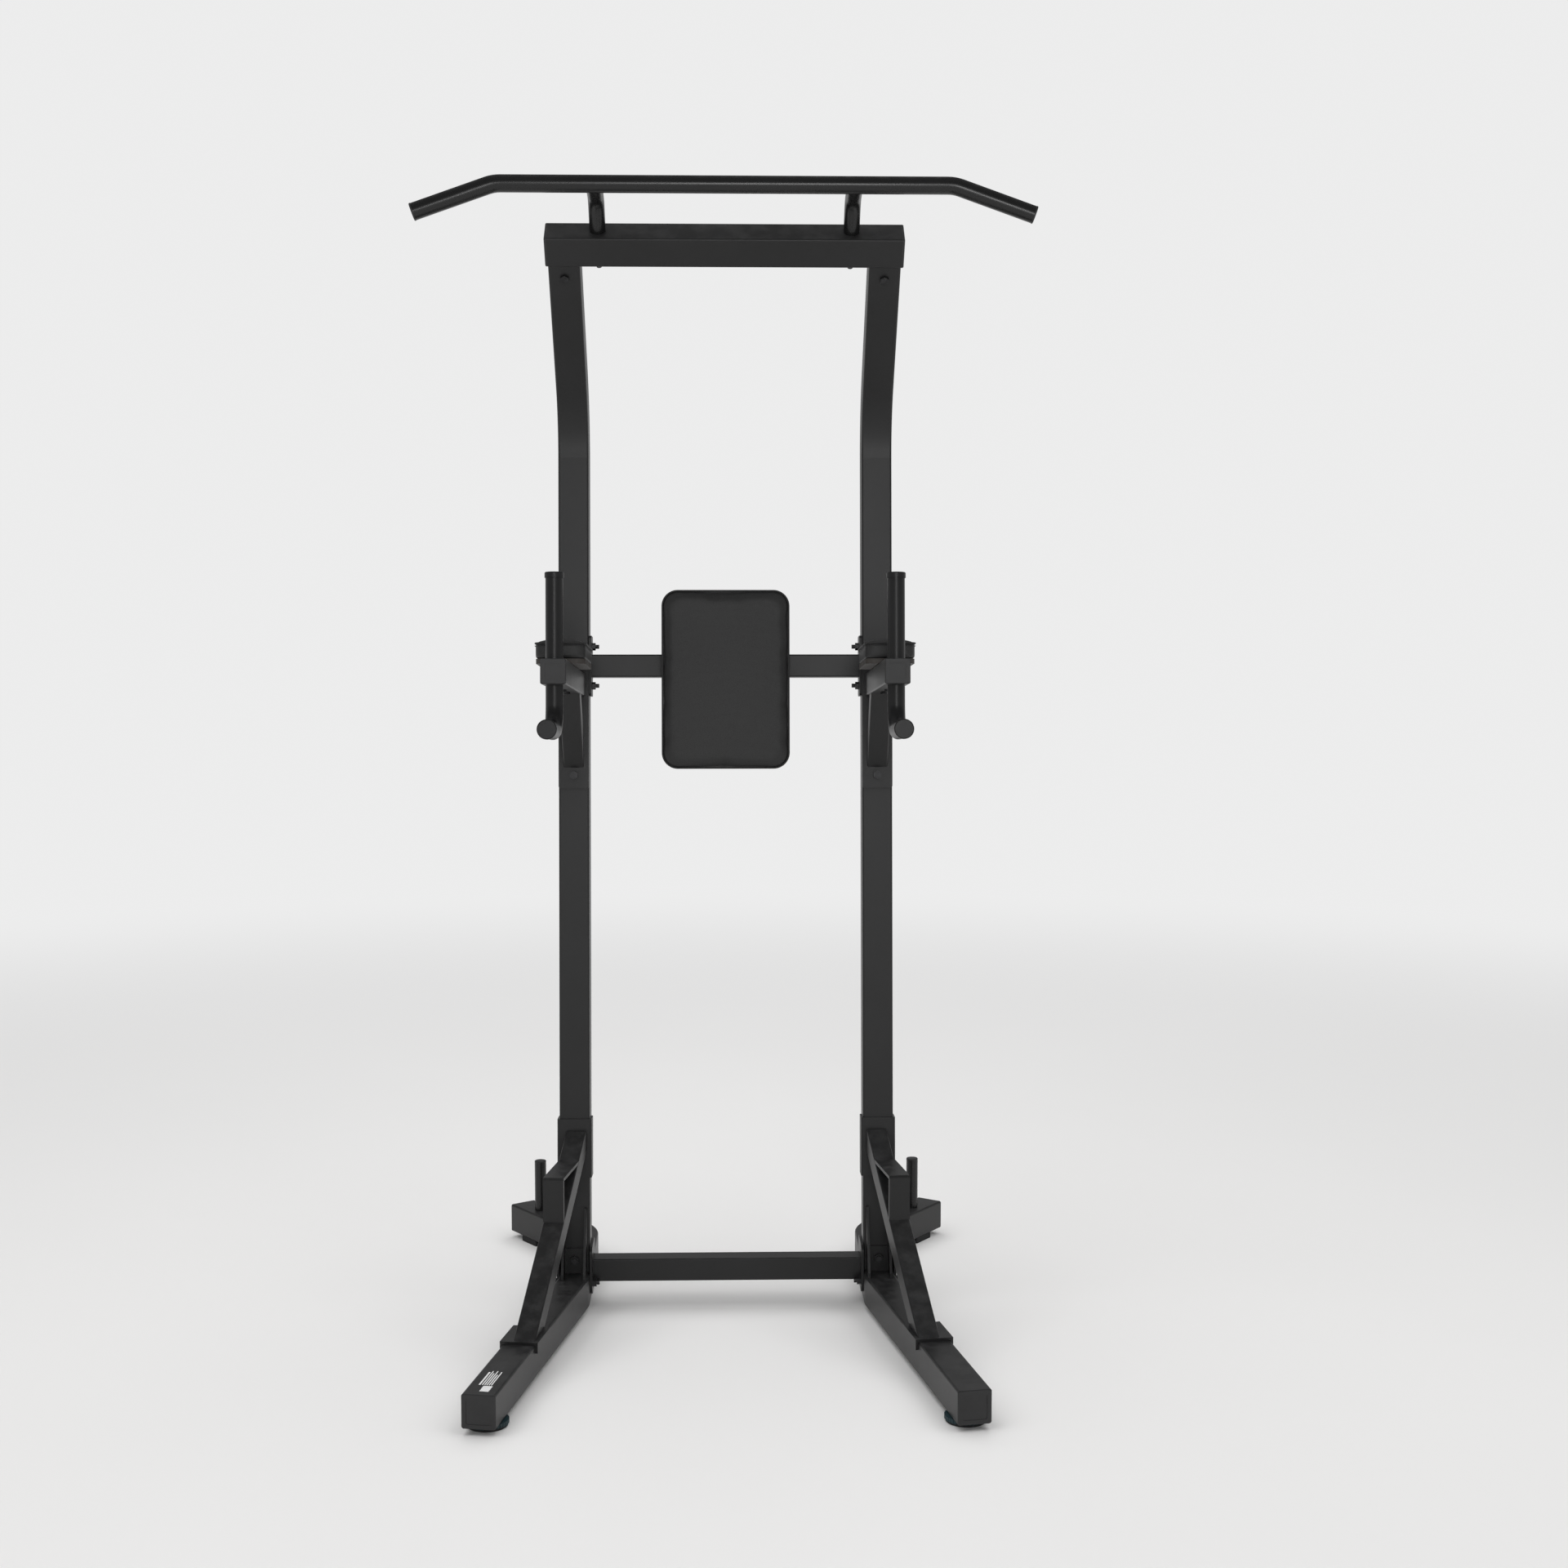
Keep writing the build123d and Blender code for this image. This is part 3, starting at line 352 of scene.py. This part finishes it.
def inflate(piece, sizes):
    # swells the cover as foam would, and holds it near its cut shape and flat on its board
    applyModifier(piece, "REMESH", mode="VOXEL", voxel_size=sizes["voxel"], adaptivity=0.0)
    start = [vertex.co.copy() for vertex in piece.data.vertices]
    makeActive(piece)
    cloth = piece.modifiers.new("cover", "CLOTH")
    cloth.settings.use_pressure = True
    cloth.settings.uniform_pressure_force = sizes["pressure"]
    cloth.settings.tension_stiffness = cover["stretch"]
    cloth.settings.compression_stiffness = cover["stretch"]
    cloth.settings.bending_stiffness = cover["bend"]
    cloth.settings.effector_weights.gravity = 0
    cloth.collision_settings.use_collision = False
    cloth.point_cache.frame_start = 1
    cloth.point_cache.frame_end = cover["frames"]
    for step in range(1, cover["frames"] + 1):
        bpy.context.scene.frame_set(step)
    bpy.ops.object.modifier_apply(modifier=cloth.name)
    bpy.context.scene.frame_set(1)
    half = Vector(sizes["size"]) / 2
    for vertex, old in zip(piece.data.vertices, start):
        move = vertex.co - old
        sideways = move.x * old.x / half.x ** 2 + move.y * old.y / half.y ** 2
        if sideways < 0:                                                 # the board holds the sides out
            move.x *= sizes["drawIn"]
            move.y *= sizes["drawIn"]
        if move.length > sizes["swell"]:
            move = move.normalized() * sizes["swell"]
        grip = min(1.0, max(0.0, (old.z + half.z) / (half.z * cover["staples"])))    # held at the staples
        vertex.co = old + Vector((move.x * grip, move.y * grip, move.z * grip))
        # a shallow crown towards the middle of the face
        along = min(1.0, abs(old.x) / half.x) ** 2
        across = min(1.0, abs(old.y) / half.y) ** 2
        vertex.co.z += sizes["crown"] * grip * (1 - along) * (1 - across)
        vertex.co.z = max(vertex.co.z, -half.z)
    applyModifier(piece, "SMOOTH", factor=0.5, iterations=cover["smoothing"])
    for axis in (0, 1):                                                  # pulled out to the cut size again
        widest = max(abs(vertex.co[axis]) for vertex in piece.data.vertices)
        for vertex in piece.data.vertices:
            vertex.co[axis] *= half[axis] / widest
    deepest = max(vertex.co.z for vertex in piece.data.vertices)
    excess = deepest - half.z - sizes["proud"]
    for vertex in piece.data.vertices:
        vertex.co.z -= excess * max(0.0, (vertex.co.z + half.z) / (deepest + half.z))
    applyModifier(piece, "SUBSURF", levels=1, render_levels=1)
    makeActive(piece)
    bpy.ops.object.shade_smooth()


def cushion(name, sizes):
    width, length, depth = sizes["size"]
    inset = sizes["undersize"]
    pad = slab(name, (width - 2 * inset, length - 2 * inset, depth - inset))
    pad.data.transform(Matrix.Translation((0, 0, -inset / 2)))
    editSelected(pad, lambda corners: abs(corners[0].z - corners[1].z) > depth / 2)
    bpy.ops.mesh.bevel(offset=sizes["corner"], segments=10, affect="EDGES")
    leave()
    editSelected(pad, lambda corners: min(corner.z for corner in corners) > 0)
    bpy.ops.mesh.bevel(offset=sizes["edge"], segments=4, affect="EDGES")
    leave()
    inflate(pad, sizes)
    return pad


def outline(name, width, length, corner, level, thickness):
    # a closed cord round the pad, from a rounded rectangle's edge
    deselectAll()
    bpy.ops.mesh.primitive_plane_add(size=1, location=(0, 0, 0))
    ring = bpy.context.object
    ring.name = name
    ring.scale = (width, length, 1)
    bpy.ops.object.transform_apply(location=True, rotation=True, scale=True)
    bpy.ops.object.mode_set(mode="EDIT")
    bpy.ops.mesh.select_all(action="SELECT")
    bpy.ops.mesh.bevel(offset=corner, segments=12, affect="VERTICES")
    bpy.ops.mesh.select_all(action="SELECT")
    bpy.ops.mesh.delete(type="ONLY_FACE")
    leave()
    ring.data.transform(Matrix.Translation((0, 0, level)))
    bpy.ops.object.convert(target="CURVE")
    ring = bpy.context.object
    ring.data.bevel_depth = thickness
    ring.data.bevel_resolution = 3
    bpy.ops.object.convert(target="MESH")
    ring = bpy.context.object
    ring.data.name = name
    bpy.ops.object.shade_smooth()
    return ring


def stitches(name, width, length, corner, level, pitch, thread):
    # one stitch, copied along the seam
    deselectAll()
    bpy.ops.mesh.primitive_uv_sphere_add(segments=8, ring_count=6, radius=0.5, location=(0, 0, 0))
    first = bpy.context.object
    first.scale = (pitch * 0.66, thread, thread)
    bpy.ops.object.transform_apply(location=True, rotation=True, scale=True)
    bpy.ops.object.shade_smooth()
    spots = []
    straightX = width / 2 - corner
    straightY = length / 2 - corner
    runs = [
        ((-straightX, -length / 2), (1, 0), 2 * straightX),
        ((width / 2, -straightY), (0, 1), 2 * straightY),
        ((straightX, length / 2), (-1, 0), 2 * straightX),
        ((-width / 2, straightY), (0, -1), 2 * straightY),
    ]
    for (x, y), (dx, dy), run in runs:
        count = int(run / pitch)
        for index in range(count):
            reach = run * (index + 0.5) / count
            spots.append((x + dx * reach, y + dy * reach, math.atan2(dy, dx)))
    for cornerIndex, (sx, sy) in enumerate([(1, -1), (1, 1), (-1, 1), (-1, -1)]):
        count = max(2, int(corner * math.pi / 2 / pitch))
        for index in range(count):
            angle = -math.pi / 2 + cornerIndex * math.pi / 2 + math.pi / 2 * (index + 0.5) / count
            x = sx * straightX + corner * math.cos(angle)
            y = sy * straightY + corner * math.sin(angle)
            spots.append((x, y, angle + math.pi / 2))
    copies = []
    for x, y, angle in spots:
        one = copyOf(first, name)
        one.data.transform(Matrix.Translation((x, y, level)) @ Matrix.Rotation(angle, 4, "Z"))
        copies.append(one)
    bpy.data.objects.remove(first)
    deselectAll()
    for one in copies:
        one.select_set(True)
    bpy.context.view_layer.objects.active = copies[0]
    bpy.ops.object.join()
    row = bpy.context.object
    row.name = name
    row.data.name = name
    return row


backrest = {
    "size": (0.250, 0.350, 0.057), "corner": 0.030, "edge": 0.007, "undersize": 0.003, "voxel": 0.005,
    "pressure": 4.0, "swell": 0.006, "drawIn": 0.12, "crown": 0.0035, "proud": 0.001, "fill": 0.85,
}
elbow = {
    "size": (0.094, 0.221, 0.038), "corner": 0.015, "edge": 0.006, "undersize": 0.003, "voxel": 0.004,
    "pressure": 4.0, "swell": 0.005, "drawIn": 0.12, "crown": 0.003, "proud": 0.001, "fill": 0.85,
}
piping = {"thickness": 0.0017, "below": 0.0095, "stitchPitch": 0.0052, "thread": 0.0012, "seamBelow": 0.0140}

# face forwards (-Y) for the backrest, face up for the elbows, and both leaned with the frame
leanTurn = Matrix.Rotation(-frameLean, 4, "X")
forwardTurn = leanTurn @ Matrix.Rotation(math.pi / 2, 4, "X")


def trimmings(name, sizes):
    width, length, depth = sizes["size"]
    ring = outline(name + "_piping", width - 0.0022, length - 0.0022, sizes["corner"],
                   depth / 2 - piping["below"], piping["thickness"])
    seam = stitches(name + "_stitching", width - 0.0006, length - 0.0006, sizes["corner"],
                    depth / 2 - piping["seamBelow"], piping["stitchPitch"], piping["thread"])
    return ring, seam


backPad = cushion("backrest_cushion", backrest)
backTrim = trimmings("backrest", backrest)
for piece in (backPad, *backTrim):
    place(piece, middle("backrest_pad"), forwardTurn)
    dress(piece, finishes["vinyl"])
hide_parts("backrest_pad")
print("backrest pad done")

elbowPad = cushion("elbow_cushion_left", elbow)
elbowTrim = trimmings("elbow_left", elbow)
for side in ("right", "left"):
    for piece in (elbowPad, *elbowTrim):
        done = piece if side == "left" else copyOf(piece, piece.name.replace("left", "right"))
        place(done, middle("elbow_pad_" + side), leanTurn)
        dress(done, finishes["vinyl"])
        if piece is elbowPad:
            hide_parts("elbow_pad_" + side)
print("elbow pads done")


# printed marks on top of the left leg: a framed block and plain bars, no lettering

marks = {
    "centre": (-0.406, -0.538), "splay": math.radians(10.26), "film": 0.0003, "inner": 0.0036,
    "block": (0.026, 0.016), "blockAt": (-0.036, -0.0050), "barsFrom": -0.019,
    "bars": [(0.0115, 0.062, 0.0032), (0.0065, 0.067, 0.0020), (0.0025, 0.057, 0.0020),
             (-0.0015, 0.068, 0.0020), (-0.0055, 0.051, 0.0020), (-0.0095, 0.064, 0.0020)],
}


def markBar(name, along, across, length, height):
    bar = slab(name, (length, height, marks["film"]))
    bar.data.transform(Matrix.Translation((along, across, 0)))
    editSelected(bar, lambda corners: abs(corners[0].z - corners[1].z) > marks["film"] / 2)
    bpy.ops.mesh.bevel(offset=height * 0.2, segments=2, affect="EDGES")
    leave()
    return bar


block = slab("leg_marks", (*marks["block"], marks["film"]))
block.data.transform(Matrix.Translation((*marks["blockAt"], 0)))
editSelected(block, lambda corners: min(corner.z for corner in corners) > 0, "FACE")
bpy.ops.mesh.inset(thickness=marks["inner"])
bpy.ops.mesh.extrude_region_move(TRANSFORM_OT_translate={"value": (0, 0, -marks["film"] * 0.6)})
leave()
bars = []
for across, length, height in marks["bars"]:
    bars.append(markBar("mark", marks["barsFrom"] + length / 2, across, length, height))
deselectAll()
for piece in (block, *bars):
    piece.select_set(True)
bpy.context.view_layer.objects.active = block
bpy.ops.object.join()
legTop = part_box("base_tube_left")[1][2]
markTurn = Matrix.Rotation(math.pi / 2 - marks["splay"], 4, "Z")
place(block, (*marks["centre"], legTop + marks["film"] / 2 + 0.00005), markTurn)
dress(block, inkWhite)
print("marks done")


# the studio

studio = {"level": 0.843, "floorSize": 60.0, "fadeFrom": 0.5, "fadeTo": 6.5, "ceiling": 0.17, "band": 0.62,
          "bandTop": 0.16, "ceilingFrom": 0.36}


def makeFloor():
    deselectAll()
    bpy.ops.mesh.primitive_plane_add(size=studio["floorSize"], location=(0, 0, 0))
    floor = bpy.context.object
    floor.name = "studio_floor"
    paint = Finish("floorPaint", 0.85)
    flat = paint.node("ShaderNodeVectorMath", {"operation": "MULTIPLY"}, {0: paint.place, 1: (1, 1, 0)})
    reach = paint.node("ShaderNodeVectorMath", {"operation": "LENGTH"}, {0: flat}, output="Value")
    tone = paint.noise(0.8, 3.0)
    paint.give(Base_Color=paint.colours(tone, (0.80, 0.795, 0.79, 1), (0.83, 0.825, 0.82, 1)))
    paint.give(Specular_IOR_Level=0.1)
    glow = paint.node("ShaderNodeEmission", {}, {"Color": grey(studio["level"]), "Strength": 1.0})
    fade = paint.node("ShaderNodeMapRange", {"interpolation_type": "SMOOTHSTEP"},
                      {"Value": reach, "From Min": studio["fadeFrom"], "From Max": studio["fadeTo"]})
    inputs = {0: fade, 1: Wire(paint, paint.shader.outputs[0]), 2: glow}
    mixed = paint.node("ShaderNodeMixShader", {}, inputs)
    paint.tree.links.new(mixed.socket, paint.tree.nodes["Material Output"].inputs["Surface"])
    floor.data.materials.append(paint.material)


def makeLight(name, spot, aim, size, power, mirrored=False):
    light = bpy.data.lights.new(name, "AREA")
    light.shape = "DISK"
    light.size = size
    light.energy = power
    lamp = bpy.data.objects.new(name, light)
    lamp.location = spot
    lamp.rotation_euler = (Vector(aim) - Vector(spot)).to_track_quat("-Z", "Y").to_euler()
    lamp.visible_glossy = mirrored
    bpy.context.scene.collection.objects.link(lamp)


def makeWorld():
    # the backdrop is seen pale all over, and lights the object with a pale band under a dim ceiling
    world = bpy.data.worlds.new("studio")
    air = Wiring(world)
    sky = air.node("ShaderNodeTexCoord", output="Generated")
    height = air.node("ShaderNodeSeparateXYZ", {}, {0: sky}, output="Z")
    dim = air.node("ShaderNodeMapRange", {"interpolation_type": "SMOOTHSTEP"},
                   {"Value": height, "From Min": studio["bandTop"], "From Max": studio["ceilingFrom"]})
    lighting = air.colours(dim, grey(studio["band"]), grey(studio["ceiling"]))
    seen = air.node("ShaderNodeLightPath", output="Is Camera Ray")
    air.feed(air.tree.nodes["Background"].inputs["Color"], air.colours(seen, lighting, grey(studio["level"])))
    bpy.context.scene.world = world


makeFloor()
makeLight("keySoftbox", (-2.4, -1.8, 4.6), (0, 0.4, 0), 5.0, 104)
makeLight("fillSoftbox", (2.8, -1.6, 4.4), (0, 0.4, 0), 5.0, 82)
makeLight("topSoftbox", (0, 2.2, 4.8), (0, 1.0, 0), 6.0, 150)
makeLight("frontSoftbox", (0.2, -5.2, 2.25), (0, 0, 1.6), 1.3, 40, True)
makeWorld()
bpy.context.scene.view_settings.view_transform = "Standard"

view = {"place": (-0.001, -4.1717, 1.3864), "down": 4.611, "aside": 1.547, "lens": 50.0, "sensor": 36.0}
lens = bpy.data.cameras.new("camera")
lens.lens = view["lens"]
lens.sensor_width = view["sensor"]
camera = bpy.data.objects.new("camera", lens)
camera.location = view["place"]
camera.rotation_euler = (math.radians(90 - view["down"]), 0, math.radians(-view["aside"]))
bpy.context.scene.collection.objects.link(camera)
bpy.context.scene.camera = camera
print("studio done")

bpy.context.view_layer.update()
